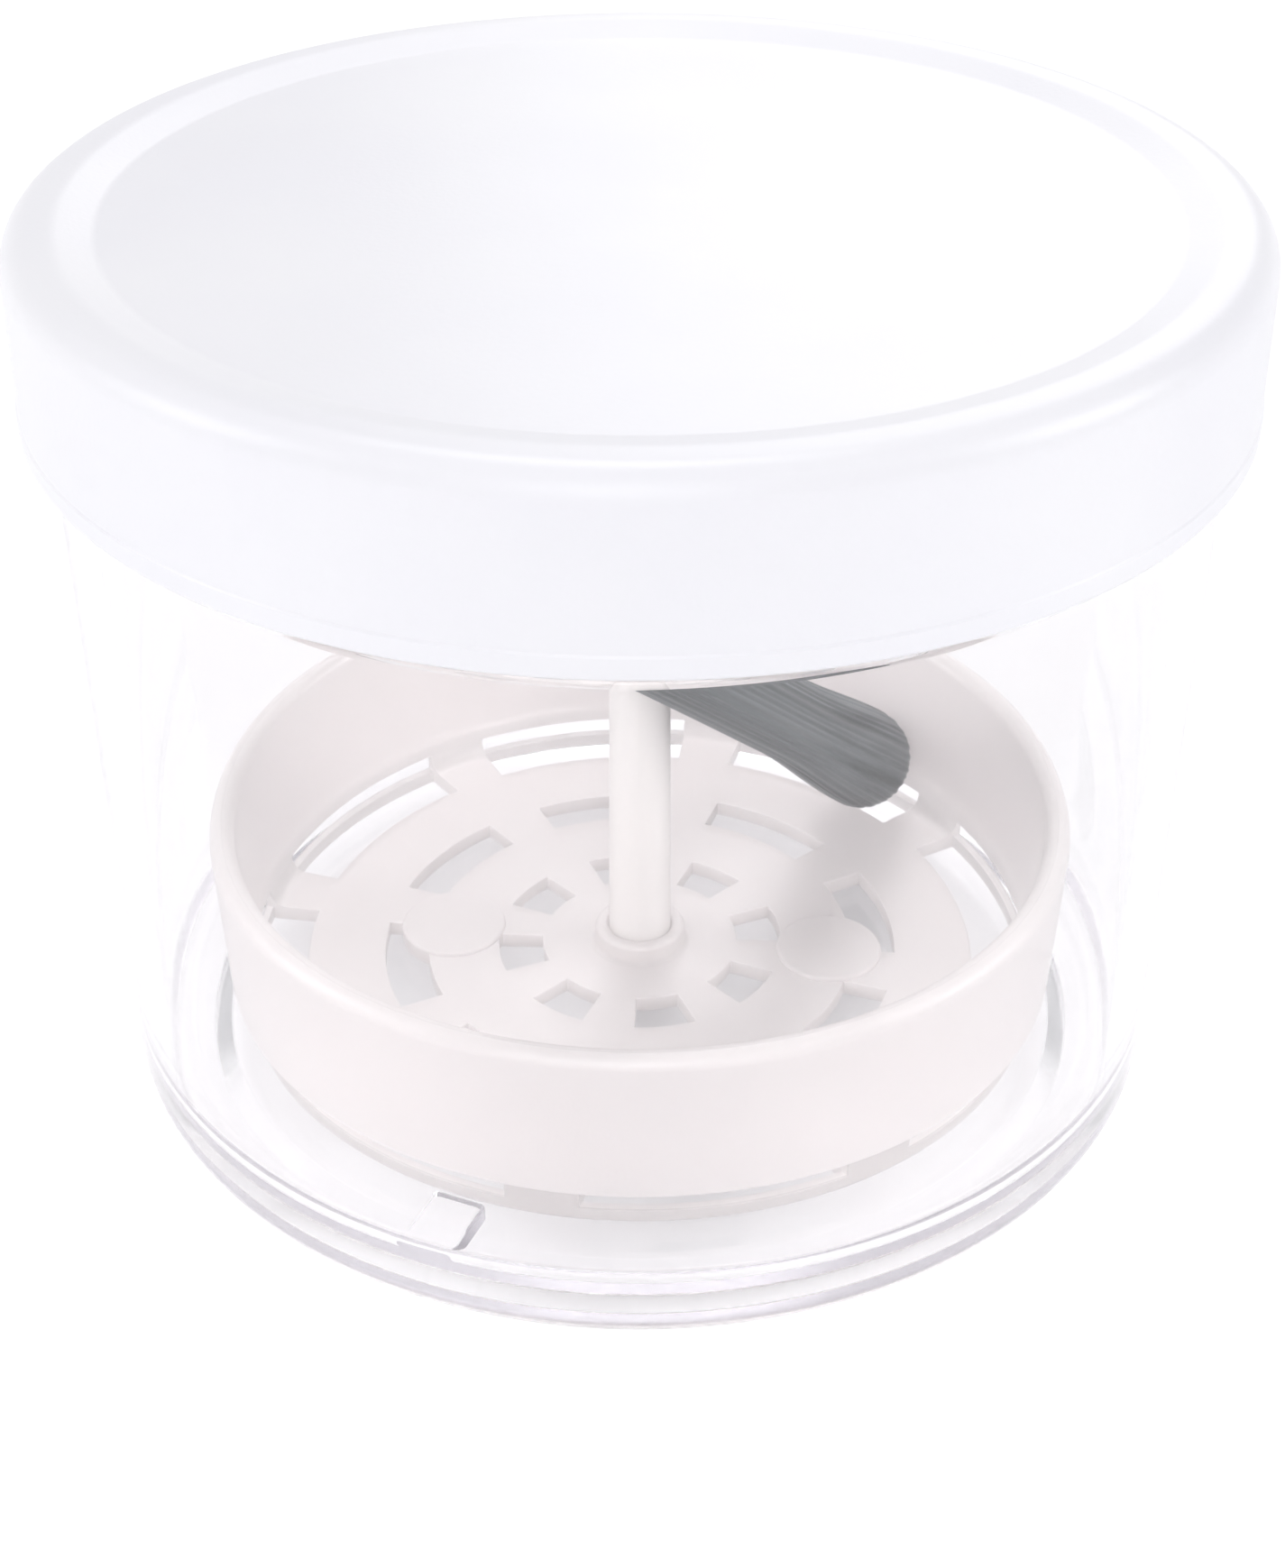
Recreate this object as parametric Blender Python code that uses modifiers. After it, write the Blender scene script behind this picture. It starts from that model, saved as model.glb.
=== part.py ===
"""A clear screw-top jar holding a lift-out slotted basket on a post and a loose pestle.

Units are metres, +Z is up and the jar stands on Z = 0 with its axis on the Z axis.
Angles round the axis (azimuths) are in degrees from the front, -Y, growing towards +X.
"""
import math

import bmesh
import bpy
from mathutils import Matrix, Vector

MM = 0.001
SEGMENTS = 64
ROD_SEGMENTS = 32
MERGE = 0.00001

# Driving sizes of the jar.
BODY_RADIUS = 40.0 * MM
BASE_RADIUS = 39.4 * MM
WALL = 2.0 * MM
BODY_TOP = 52.9 * MM
FLOOR_TOP = 3.6 * MM
BASE_RECESS = 1.0 * MM
BASE_EDGE = 2.4 * MM
FOOT_RADIUS = 34.0 * MM
FLOOR_CORNER = 2.6 * MM
NECK_RADIUS = 38.9 * MM
NECK_BORE = 37.2 * MM
MOUTH = 62.5 * MM

# The moulded rib on the jar floor.
RIB_AZIMUTH = -22.7
RIB_WIDTH = 3.9 * MM
RIB_INNER = 31.7 * MM
RIB_TOP = 5.0 * MM

# The screw threads. The ridges pass each other with play, so the lid turns and lifts freely.
THREAD_PITCH = 4.0 * MM
THREAD_TURNS = 1.25
THREAD_HALF = 0.8 * MM
THREAD_START = 55.6 * MM
JAR_THREAD_CREST = 39.55 * MM
LID_THREAD_CREST = 39.85 * MM
POINTS_PER_TURN = 24

# Lid and liner.
LID_TOP = 66.2 * MM
LID_PANEL = 65.5 * MM
LID_UNDERSIDE = 64.3 * MM
LID_RADIUS_TOP = 41.64 * MM
SKIRT_RADIUS = 41.88 * MM
SKIRT_BOTTOM = 53.6 * MM
SKIRT_BORE = 40.45 * MM
SKIRT_BEAD = 1.5 * MM
LINER_RADIUS = 39.0 * MM
LINER_BOTTOM = 62.8 * MM
LINER_TOP = 64.0 * MM

# Basket. The lower band is set in from the wall. Each corner window opens the floor beside the
# wall, and above the skirt it also opens the band.
PLATE_BOTTOM = 3.95 * MM
PLATE_TOP = 5.2 * MM
PLATE_RADIUS = 26.3 * MM
BAND_RADIUS = 31.0 * MM
WALL_BOTTOM = 7.3 * MM
WALL_RADIUS = 32.2 * MM
RIM_RADIUS = 32.8 * MM
RIM_Z = 19.85 * MM
BASKET_BORE = 30.4 * MM
RIM_BORE = 30.9 * MM
WINDOW_TOP = 6.5 * MM
SKIRT_TOP = 5.1 * MM
COLLAR_RADIUS = 3.5 * MM
COLLAR_TOP = 6.8 * MM
SOCKET_RADIUS = 2.75 * MM
SOCKET_BOTTOM = 4.6 * MM

# Rings of openings in the basket: inner radius, outer radius, half angle in degrees, bottom, top.
OPENINGS_PER_RING = 8
FIRST_OPENING = 10.0
CUT_BELOW = 3.0 * MM
CUT_ABOVE = 6.0 * MM
HOLE_RING = (7.7 * MM, 11.2 * MM, 12.0, CUT_BELOW, CUT_ABOVE)
SLOT_RING = (16.8 * MM, 20.2 * MM, 15.5, CUT_BELOW, CUT_ABOVE)
WINDOW_RING = (PLATE_RADIUS, BASKET_BORE - 0.15 * MM, 17.6, CUT_BELOW, WINDOW_TOP)
BAND_RING = (BASKET_BORE - 0.6 * MM, 34.0 * MM, 17.2, SKIRT_TOP, WINDOW_TOP - 0.1 * MM)

# Two round pads in the basket floor, opposite each other. They close part of the curved slots.
PAD_AZIMUTHS = (84.0, -96.0)
PAD_RING = 15.0 * MM
PAD_RADIUS = 4.15 * MM
PAD_BOTTOM = 4.15 * MM
PAD_TOP = 5.5 * MM
PAD_SEGMENTS = 32

# Post.
POST_FOOT = 4.95 * MM
POST_FOOT_RADIUS = 2.44 * MM
POST_TOP = 60.4 * MM
POST_TOP_RADIUS = 2.08 * MM

# Pestle. Its round working end lies in the corner of the basket and it leans to the front left.
TIP_CENTRE = Vector((18.85, 17.65, 10.65)) * MM
TIP_RADIUS = 4.25 * MM
SHAFT_RADIUS = 3.4 * MM
BUTT_RADIUS = 3.1 * MM
FLARE_LENGTH = 19.0 * MM
SHAFT_LENGTH = 72.5 * MM
PESTLE_RISE = 39.3
PESTLE_HEADING = -33.5


def clear_scene():
    for item in list(bpy.data.objects):
        bpy.data.objects.remove(item, do_unlink=True)


def new_collection(name):
    group = bpy.data.collections.new(name)
    bpy.context.scene.collection.children.link(group)
    return group


def finish_material(name, colour, roughness, transmission=0.0):
    material = bpy.data.materials.new(name)
    material.use_nodes = True
    shader = material.node_tree.nodes["Principled BSDF"]
    shader.inputs["Base Color"].default_value = (*colour, 1.0)
    shader.inputs["Roughness"].default_value = roughness
    shader.inputs["Metallic"].default_value = 0.0
    shader.inputs["Transmission Weight"].default_value = transmission
    return material


def arc(centre_r, centre_z, radius, start, end, steps):
    """Points of an arc in the (radius, height) plane, angles in degrees from outwards."""
    points = []
    for step in range(steps + 1):
        angle = math.radians(start + (end - start) * step / steps)
        points.append((centre_r + radius * math.cos(angle), centre_z + radius * math.sin(angle)))
    return points


def polar(radius, azimuth, height):
    angle = math.radians(azimuth)
    return Vector((radius * math.sin(angle), -radius * math.cos(angle), height))


def add_object(name, mesh, group, material=None):
    piece = bpy.data.objects.new(name, mesh)
    group.objects.link(piece)
    if material is not None:
        mesh.materials.append(material)
    return piece


def turned(name, profile, group, material, segments=SEGMENTS):
    """Turn an open profile round Z. It goes up the inner side and down the outer side."""
    mesh = bpy.data.meshes.new(name)
    vertices = [(radius, 0.0, height) for radius, height in profile]
    edges = [(index, index + 1) for index in range(len(profile) - 1)]
    mesh.from_pydata(vertices, edges, [])
    piece = add_object(name, mesh, group, material)
    screw = piece.modifiers.new("turn", "SCREW")
    screw.axis = "Z"
    screw.angle = 2.0 * math.pi
    screw.steps = segments
    screw.render_steps = segments
    screw.use_merge_vertices = True
    screw.merge_threshold = MERGE
    screw.use_smooth_shade = True
    return piece


def weight_normals(piece):
    """Keep the flats flat and the rounds round in the shading."""
    piece.modifiers.new("normals", "WEIGHTED_NORMAL")


def mark_cutter(piece):
    piece.hide_render = True
    piece.display_type = "WIRE"


def combine(piece, tool, operation):
    boolean = piece.modifiers.new(operation.lower(), "BOOLEAN")
    boolean.operation = operation
    boolean.solver = "EXACT"
    boolean.object = tool
    mark_cutter(tool)


def sector_prism(mesh, inner, outer, centre, half, bottom, top, arc_steps=6):
    """Add a ring sector between two radii, extruded from bottom to top."""
    outline = []
    for step in range(arc_steps + 1):
        outline.append(polar(outer, centre - half + 2.0 * half * step / arc_steps, bottom))
    for step in range(arc_steps + 1):
        outline.append(polar(inner, centre + half - 2.0 * half * step / arc_steps, bottom))
    face = mesh.faces.new([mesh.verts.new(point) for point in outline])
    lifted = bmesh.ops.extrude_face_region(mesh, geom=[face])["geom"]
    raised = [item for item in lifted if isinstance(item, bmesh.types.BMVert)]
    bmesh.ops.translate(mesh, verts=raised, vec=(0.0, 0.0, top - bottom))


def opening_cutter(name, rings, cutters):
    """Every opening of some rings as one tool."""
    tool = bmesh.new()
    for inner, outer, half, bottom, top in rings:
        for index in range(OPENINGS_PER_RING):
            centre = FIRST_OPENING + 360.0 * index / OPENINGS_PER_RING
            sector_prism(tool, inner, outer, centre, half, bottom, top)
    bmesh.ops.recalc_face_normals(tool, faces=tool.faces)
    mesh = bpy.data.meshes.new(name)
    tool.to_mesh(mesh)
    tool.free()
    return add_object(name, mesh, cutters)


def floor_pads(cutters):
    """The two pads as one tool."""
    tool = bmesh.new()
    height = PAD_TOP - PAD_BOTTOM
    for azimuth in PAD_AZIMUTHS:
        place = Matrix.Translation(polar(PAD_RING, azimuth, PAD_BOTTOM + height / 2.0))
        bmesh.ops.create_cone(tool, cap_ends=True, segments=PAD_SEGMENTS, radius1=PAD_RADIUS,
                              radius2=PAD_RADIUS, depth=height, matrix=place)
    mesh = bpy.data.meshes.new("floor_pads")
    tool.to_mesh(mesh)
    tool.free()
    return add_object("floor_pads", mesh, cutters)


def thread_ridge(name, crest, outward, cutters):
    """A round ridge along a helix that fades out at both ends."""
    curve = bpy.data.curves.new(name, "CURVE")
    curve.dimensions = "3D"
    curve.bevel_depth = THREAD_HALF
    curve.bevel_resolution = 2
    curve.use_fill_caps = True
    spline = curve.splines.new("POLY")
    count = int(POINTS_PER_TURN * THREAD_TURNS) + 1
    spline.points.add(count - 1)
    centre = crest - THREAD_HALF if outward else crest + THREAD_HALF
    for index, point in enumerate(spline.points):
        turn = index / POINTS_PER_TURN
        fade = min(1.0, (min(index, count - 1 - index) + 1.0) / 4.0)
        angle = 2.0 * math.pi * turn
        position = (centre * math.cos(angle), centre * math.sin(angle), THREAD_START + THREAD_PITCH * turn)
        point.co = (*position, 1.0)
        point.radius = 0.6 + 0.4 * fade
    guide = bpy.data.objects.new(name + "_guide", curve)
    cutters.objects.link(guide)
    bpy.context.view_layer.update()
    graph = bpy.context.evaluated_depsgraph_get()
    mesh = bpy.data.meshes.new_from_object(guide.evaluated_get(graph))
    bpy.data.objects.remove(guide, do_unlink=True)
    solid = bmesh.new()
    solid.from_mesh(mesh)
    bmesh.ops.remove_doubles(solid, verts=solid.verts, dist=MERGE)
    bmesh.ops.recalc_face_normals(solid, faces=solid.faces)
    solid.to_mesh(mesh)
    solid.free()
    return add_object(name, mesh, cutters)


def rib_block(cutters):
    """The rib runs from beside the basket into the jar wall."""
    length = BASE_RADIUS - WALL / 2.0 - RIB_INNER
    height = RIB_TOP - FLOOR_TOP / 2.0
    block = bmesh.new()
    bmesh.ops.create_cube(block, size=1.0)
    bmesh.ops.scale(block, vec=(RIB_WIDTH, length, height), verts=block.verts)
    centre = polar(RIB_INNER + length / 2.0, RIB_AZIMUTH, RIB_TOP - height / 2.0)
    place = Matrix.Translation(centre) @ Matrix.Rotation(math.radians(RIB_AZIMUTH), 4, "Z")
    bmesh.ops.transform(block, matrix=place, verts=block.verts)
    mesh = bpy.data.meshes.new("jar_rib")
    block.to_mesh(mesh)
    block.free()
    return add_object("jar_rib", mesh, cutters)


def build_jar(group, cutters):
    inner = BASE_RADIUS - WALL
    profile = [(0.0, FLOOR_TOP)]
    profile += arc(inner - FLOOR_CORNER, FLOOR_TOP + FLOOR_CORNER, FLOOR_CORNER, -90.0, 0.0, 4)
    profile += [(BODY_RADIUS - WALL, BODY_TOP - 0.8 * MM), (NECK_BORE, BODY_TOP + 2.0 * MM)]
    profile += [(NECK_BORE, MOUTH - 0.5 * MM), (NECK_BORE + 0.5 * MM, MOUTH)]
    profile += [(NECK_RADIUS - 0.4 * MM, MOUTH), (NECK_RADIUS, MOUTH - 0.4 * MM)]
    profile += [(NECK_RADIUS, BODY_TOP)]
    profile += arc(BODY_RADIUS - 0.9 * MM, BODY_TOP - 0.9 * MM, 0.9 * MM, 90.0, 0.0, 3)
    profile += arc(BASE_RADIUS - BASE_EDGE, BASE_EDGE, BASE_EDGE, 0.0, -90.0, 5)
    profile += [(FOOT_RADIUS, 0.0), (FOOT_RADIUS - 1.5 * MM, BASE_RECESS), (0.0, BASE_RECESS)]
    plastic = finish_material("clear_styrene", (0.93, 0.94, 0.96), 0.05, 0.95)
    jar = turned("jar", profile, group, plastic)
    combine(jar, rib_block(cutters), "UNION")
    combine(jar, thread_ridge("jar_thread", JAR_THREAD_CREST, True, cutters), "UNION")
    return jar


def build_lid(group, cutters):
    edge = 0.3 * MM
    shoulder = 2.1 * MM
    profile = [(0.0, LID_PANEL), (35.4 * MM, LID_PANEL)]
    profile += [(36.6 * MM, LID_PANEL + 0.15 * MM), (38.2 * MM, LID_TOP - 0.1 * MM)]
    profile += arc(LID_RADIUS_TOP - shoulder, LID_TOP - shoulder, shoulder, 90.0, 0.0, 5)
    profile += [(SKIRT_RADIUS - 0.12 * MM, SKIRT_BOTTOM + SKIRT_BEAD + 0.15 * MM)]
    profile += [(SKIRT_RADIUS, SKIRT_BOTTOM + SKIRT_BEAD), (SKIRT_RADIUS, SKIRT_BOTTOM + edge)]
    profile += [(SKIRT_RADIUS - edge, SKIRT_BOTTOM), (SKIRT_BORE + edge, SKIRT_BOTTOM)]
    profile += [(SKIRT_BORE, SKIRT_BOTTOM + edge), (SKIRT_BORE, LID_UNDERSIDE - 1.0 * MM)]
    profile += [(SKIRT_BORE - 1.0 * MM, LID_UNDERSIDE), (0.0, LID_UNDERSIDE)]
    plastic = finish_material("white_polypropylene", (0.93, 0.92, 0.94), 0.22)
    lid = turned("lid", profile, group, plastic)
    combine(lid, thread_ridge("lid_thread", LID_THREAD_CREST, False, cutters), "UNION")
    return lid


def build_liner(group):
    edge = 0.25 * MM
    profile = [(0.0, LINER_TOP), (LINER_RADIUS - edge, LINER_TOP)]
    profile += [(LINER_RADIUS, LINER_TOP - edge), (LINER_RADIUS, LINER_BOTTOM + edge)]
    profile += [(LINER_RADIUS - edge, LINER_BOTTOM), (0.0, LINER_BOTTOM)]
    return turned("lid_liner", profile, group, finish_material("foam_liner", (0.88, 0.88, 0.86), 0.7))


def build_basket(group, cutters):
    fillet = 1.2 * MM
    profile = [(0.0, SOCKET_BOTTOM), (SOCKET_RADIUS, SOCKET_BOTTOM), (SOCKET_RADIUS, COLLAR_TOP)]
    profile += [(COLLAR_RADIUS - 0.3 * MM, COLLAR_TOP), (COLLAR_RADIUS, COLLAR_TOP - 0.3 * MM)]
    profile += [(COLLAR_RADIUS, PLATE_TOP)]
    profile += arc(BASKET_BORE - fillet, PLATE_TOP + fillet, fillet, -90.0, 0.0, 3)
    crown = (RIM_RADIUS - RIM_BORE) / 2.0
    profile += arc(RIM_BORE + crown, RIM_Z - crown, crown, 180.0, 0.0, 6)
    profile += [(WALL_RADIUS, WALL_BOTTOM + 0.4 * MM), (WALL_RADIUS - 0.4 * MM, WALL_BOTTOM)]
    profile += [(BAND_RADIUS, WALL_BOTTOM), (BAND_RADIUS, PLATE_BOTTOM + 0.5 * MM)]
    profile += [(BAND_RADIUS - 0.5 * MM, PLATE_BOTTOM), (0.0, PLATE_BOTTOM)]
    plastic = finish_material("frosted_polypropylene", (0.86, 0.84, 0.85), 0.4, 0.3)
    basket = turned("basket", profile, group, plastic)
    floor_tool = opening_cutter("floor_openings", (HOLE_RING, SLOT_RING, WINDOW_RING), cutters)
    combine(basket, floor_tool, "DIFFERENCE")
    combine(basket, opening_cutter("band_openings", (BAND_RING,), cutters), "DIFFERENCE")
    combine(basket, floor_pads(cutters), "UNION")
    return basket


def build_post(group):
    round_off = 1.2 * MM
    profile = [(0.0, POST_TOP)]
    profile += arc(POST_TOP_RADIUS - round_off, POST_TOP - round_off, round_off, 90.0, 0.0, 4)
    profile += [(POST_FOOT_RADIUS, POST_FOOT + 0.3 * MM), (POST_FOOT_RADIUS - 0.3 * MM, POST_FOOT)]
    profile += [(0.0, POST_FOOT)]
    plastic = finish_material("natural_polypropylene", (0.88, 0.85, 0.85), 0.35, 0.3)
    return turned("post", profile, group, plastic, ROD_SEGMENTS)


def pestle_radius(distance):
    """Radius of the shaft at a distance from the tip's centre: a smooth flare, then a taper."""
    flare = max(0.0, 1.0 - distance / FLARE_LENGTH)
    taper = distance / SHAFT_LENGTH
    shaft = SHAFT_RADIUS + (BUTT_RADIUS - SHAFT_RADIUS) * taper
    return shaft + (TIP_RADIUS - SHAFT_RADIUS) * flare * flare * (3.0 - 2.0 * flare)


def build_pestle(group):
    profile = arc(0.0, SHAFT_LENGTH, BUTT_RADIUS, 90.0, 0.0, 4)
    for step in range(7, 0, -1):
        distance = FLARE_LENGTH * step / 7.0
        profile.append((pestle_radius(distance), distance))
    profile += arc(0.0, 0.0, TIP_RADIUS, 0.0, -90.0, 6)
    profile[0] = (0.0, profile[0][1])
    profile[-1] = (0.0, profile[-1][1])
    plastic = finish_material("grey_plastic", (0.22, 0.24, 0.25), 0.45)
    pestle = turned("pestle", profile, group, plastic, ROD_SEGMENTS)
    heading = math.radians(PESTLE_HEADING)
    rise = math.radians(PESTLE_RISE)
    level = math.cos(rise)
    axis = Vector((level * math.sin(heading), -level * math.cos(heading), math.sin(rise)))
    pestle.rotation_euler = axis.to_track_quat("Z", "Y").to_euler()
    pestle.location = TIP_CENTRE
    return pestle


def main():
    clear_scene()
    group = new_collection("basket_jar")
    cutters = new_collection("cutters")
    pieces = [build_jar(group, cutters), build_lid(group, cutters), build_liner(group)]
    pieces += [build_basket(group, cutters), build_post(group), build_pestle(group)]
    for piece in pieces:
        weight_normals(piece)


main()
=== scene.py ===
"""Looks of the clear screw jar, its slotted basket, post, pestle and lid, built round the CAD frame.

Metres, +Z up, the jar's axis on the Z axis. Azimuths are degrees from the front, -Y, towards +X.
Outlines are lists of (radius, height, corner radius) that go up the inner side and down the outer one.
"""
import math
import random

import bmesh
import bpy
from mathutils import Matrix, Vector


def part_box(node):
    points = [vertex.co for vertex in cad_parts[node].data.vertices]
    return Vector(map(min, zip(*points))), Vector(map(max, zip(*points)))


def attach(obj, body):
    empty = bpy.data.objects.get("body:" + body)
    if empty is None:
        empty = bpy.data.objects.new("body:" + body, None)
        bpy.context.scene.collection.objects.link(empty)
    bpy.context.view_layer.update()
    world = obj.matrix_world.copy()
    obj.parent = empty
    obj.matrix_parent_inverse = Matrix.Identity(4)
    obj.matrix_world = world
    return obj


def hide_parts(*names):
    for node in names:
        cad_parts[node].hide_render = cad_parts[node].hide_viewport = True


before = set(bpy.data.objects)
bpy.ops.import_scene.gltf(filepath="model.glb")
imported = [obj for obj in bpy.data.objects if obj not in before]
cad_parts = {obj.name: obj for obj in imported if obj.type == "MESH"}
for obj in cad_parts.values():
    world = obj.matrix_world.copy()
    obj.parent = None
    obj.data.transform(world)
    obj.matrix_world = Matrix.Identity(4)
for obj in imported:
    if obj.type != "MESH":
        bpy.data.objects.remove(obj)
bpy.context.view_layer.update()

MM = 0.001
SEED = 11

# Driving sizes, all from the frame.
JAR_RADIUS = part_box("jar")[1].x
JAR_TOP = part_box("jar")[1].z
LID_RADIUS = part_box("lid")[1].x
LID_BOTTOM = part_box("lid")[0].z
LID_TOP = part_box("lid")[1].z
LINER_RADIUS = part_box("lid_liner")[1].x
LINER_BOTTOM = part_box("lid_liner")[0].z
LINER_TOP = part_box("lid_liner")[1].z
BASKET_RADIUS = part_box("basket")[1].x
BASKET_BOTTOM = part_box("basket")[0].z
BASKET_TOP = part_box("basket")[1].z
POST_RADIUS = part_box("post")[1].x
POST_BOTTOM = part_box("post")[0].z
POST_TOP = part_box("post")[1].z
PESTLE_LOW, PESTLE_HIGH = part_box("pestle")

# Jar.
WALL = 2.0 * MM
FLOOR_TOP = 3.6 * MM
BASE_INSET = 0.6 * MM
BASE_RECESS = 1.0 * MM
FOOT_RADIUS = JAR_RADIUS - 6.0 * MM
NECK_RADIUS = JAR_RADIUS - 1.1 * MM
NECK_BORE = JAR_RADIUS - 2.8 * MM
SHOULDER = JAR_TOP - 9.6 * MM
INNER_FILLET = 2.6 * MM
OUTER_FILLET = 2.4 * MM
FOOT_SLOPE = 1.5 * MM
GATE_RADIUS = 2.4 * MM
GATE_DEPTH = 0.3 * MM
RIB_AZIMUTH = -22.7
RIB_WIDTH = 3.9 * MM
RIB_INNER = 31.7 * MM
RIB_TOP = 5.0 * MM
RIB_EDGE = 0.35 * MM

# Lid.
PANEL_SINK = 0.7 * MM
PANEL_RADIUS = 35.6 * MM
RIM_RADIUS = 38.2 * MM
LID_THICKNESS = 1.9 * MM
LID_WALL = 1.43 * MM
BEAD_HEIGHT = 1.5 * MM

# Screw thread, the same helix on the jar's neck and in the lid.
THREAD_PITCH = 4.0 * MM
THREAD_TURNS = 1.25
THREAD_START = 55.6 * MM
THREAD_HALF = 0.8 * MM
THREAD_FADE = 0.05
THREAD_LIFT = 0.62 * MM
THREAD_CREST = 1.35
THREAD_ROWS = 44

# Basket.
PLATE_TOP = BASKET_BOTTOM + 1.25 * MM
BASKET_WALL = BASKET_RADIUS - 0.6 * MM
BAND_RADIUS = BASKET_RADIUS - 1.8 * MM
BASKET_BORE = BASKET_RADIUS - 2.4 * MM
WALL_BOTTOM = BASKET_BOTTOM + 3.35 * MM
WINDOW_TOP = BASKET_BOTTOM + 2.55 * MM
WINDOW_INNER = 26.3 * MM
SKIRT_INNER = BASKET_BORE - 0.15 * MM
SKIRT_TOP = BASKET_BOTTOM + 1.15 * MM
COLLAR_RADIUS = 3.5 * MM
COLLAR_TOP = BASKET_BOTTOM + 2.85 * MM
SOCKET_RADIUS = POST_RADIUS + 0.06 * MM
SOCKET_BOTTOM = POST_BOTTOM - 0.3 * MM
OPENINGS_PER_RING = 8
FIRST_OPENING = 10.0
HOLE_RING = (7.7 * MM, 11.2 * MM, 12.0)
SLOT_RING = (16.8 * MM, 20.2 * MM, 15.5)
WINDOW_HALF = 17.6
OPENING_EDGE = 0.16 * MM
PAD_AZIMUTHS = (84.0, -96.0)
PAD_RING = 15.0 * MM
PAD_RADIUS = 4.15 * MM
PAD_BOTTOM = BASKET_BOTTOM + 0.2 * MM
PAD_TOP = BASKET_BOTTOM + 1.55 * MM

# Pestle. Both ends are round, so the frame's box gives their centres.
TIP_RADIUS = 4.25 * MM
SHAFT_RADIUS = 3.4 * MM
BUTT_RADIUS = 3.1 * MM
RIDGE_DEPTH = 0.11 * MM
RIDGES_ROUND = (23, 31, 38, 47)
FLARE_LENGTH = 19.0 * MM
TIP_CENTRE = Vector((PESTLE_HIGH.x - TIP_RADIUS, PESTLE_HIGH.y - TIP_RADIUS, PESTLE_LOW.z + TIP_RADIUS))
BUTT_CENTRE = Vector((PESTLE_LOW.x + BUTT_RADIUS, PESTLE_LOW.y + BUTT_RADIUS, PESTLE_HIGH.z - BUTT_RADIUS))

# Fineness of the meshes, and the angle in degrees above which an edge stays crisp.
SEGMENTS = 192
ROUND_STEPS = 6
SHARP_ANGLE = 38.0

# Middle stretch of a noise pattern, over which a colour or a roughness changes.
TINT_START, TINT_END = 0.35, 0.65
GLOSS_START, GLOSS_END = 0.3, 0.7

# Room. The floor is a little below the jar's foot, so that the two surfaces stay apart.
FLOOR_RADIUS = 6.0
FLOOR_GAP = 0.05 * MM
HORIZON_COLOUR = (1.0, 1.0, 1.0, 1.0)
UPPER_COLOUR = (0.52, 0.52, 0.535, 1.0)
CEILING_SIZE = 3.0
CEILING_HEIGHT = 1.2
CEILING_POWER = 12.0

# Soft lights from far away: name, azimuth, elevation, width of the source in degrees, strength.
LIGHTS = (
    ("overhead", 185.0, 64.0, 24.0, 0.66),
    ("front", -5.0, 27.0, 36.0, 0.9),
    ("right", 85.0, 28.0, 30.0, 0.76),
    ("left", -85.0, 28.0, 30.0, 0.7),
    ("window", 170.0, 25.0, 28.0, 0.3),
)

# Light goes round many times inside the thick clear base before it comes out.
LIGHT_BOUNCES = 96

# Camera: its distance in front of the jar's axis and above the ground in jar radii, and its tilt in radians.
EYE_BACK = 3.984
EYE_UP = 3.120
EYE_TILT = 0.585
EYE_LENS = 57.47
EYE_SHIFT = 0.0017


# ---------------------------------------------------------------- shapes


def polar(radius, azimuth, height=0.0):
    angle = math.radians(azimuth)
    return Vector((radius * math.sin(angle), -radius * math.cos(angle), height))


def smooth(value):
    value = min(1.0, max(0.0, value))
    return value * value * (3.0 - 2.0 * value)


def rounded(corners):
    """Round the corners (x, y, radius) of an open outline and return its points."""
    points = []
    for index, (x, y, radius) in enumerate(corners):
        corner = Vector((x, y))
        if radius <= 0.0 or index in (0, len(corners) - 1):
            points.append(corner)
            continue
        back = (Vector(corners[index - 1][:2]) - corner).normalized()
        ahead = (Vector(corners[index + 1][:2]) - corner).normalized()
        half = back.angle(ahead) / 2.0
        centre = corner + (back + ahead).normalized() * (radius / math.sin(half))
        start = corner + back * (radius / math.tan(half)) - centre
        end = corner + ahead * (radius / math.tan(half)) - centre
        first = math.atan2(start.y, start.x)
        sweep = math.atan2(end.y, end.x) - first
        sweep -= 2.0 * math.pi * round(sweep / (2.0 * math.pi))
        for step in range(ROUND_STEPS + 1):
            angle = first + sweep * step / ROUND_STEPS
            points.append(centre + radius * Vector((math.cos(angle), math.sin(angle))))
    return points


def rows_between(start, end, count):
    """Plain points spread evenly between two (radius, height) points, ends left out."""
    rows = []
    for index in range(1, count):
        share = index / count
        rows.append((start[0] + (end[0] - start[0]) * share, start[1] + (end[1] - start[1]) * share, 0.0))
    return rows


def even_angles(count):
    return [360.0 * index / count for index in range(count)]


def ring_grid(mesh, points, azimuths, shape=None):
    """Turn an outline round Z. A point on the axis is one vertex. Returns the vertices by row."""
    grid = []
    for radius, height in points:
        if radius < 1e-7:
            grid.append([mesh.verts.new((0.0, 0.0, height))] * len(azimuths))
            continue
        row = []
        for azimuth in azimuths:
            lift = shape(azimuth, radius, height) if shape else 0.0
            row.append(mesh.verts.new(polar(radius + lift, azimuth, height)))
        grid.append(row)
    for first, second in zip(grid, grid[1:]):
        for index in range(len(azimuths)):
            after = (index + 1) % len(azimuths)
            corners = (first[index], first[after], second[after], second[index])
            unique = list(dict.fromkeys(corners))
            if len(unique) > 2:
                mesh.faces.new(unique)
    return grid


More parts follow.
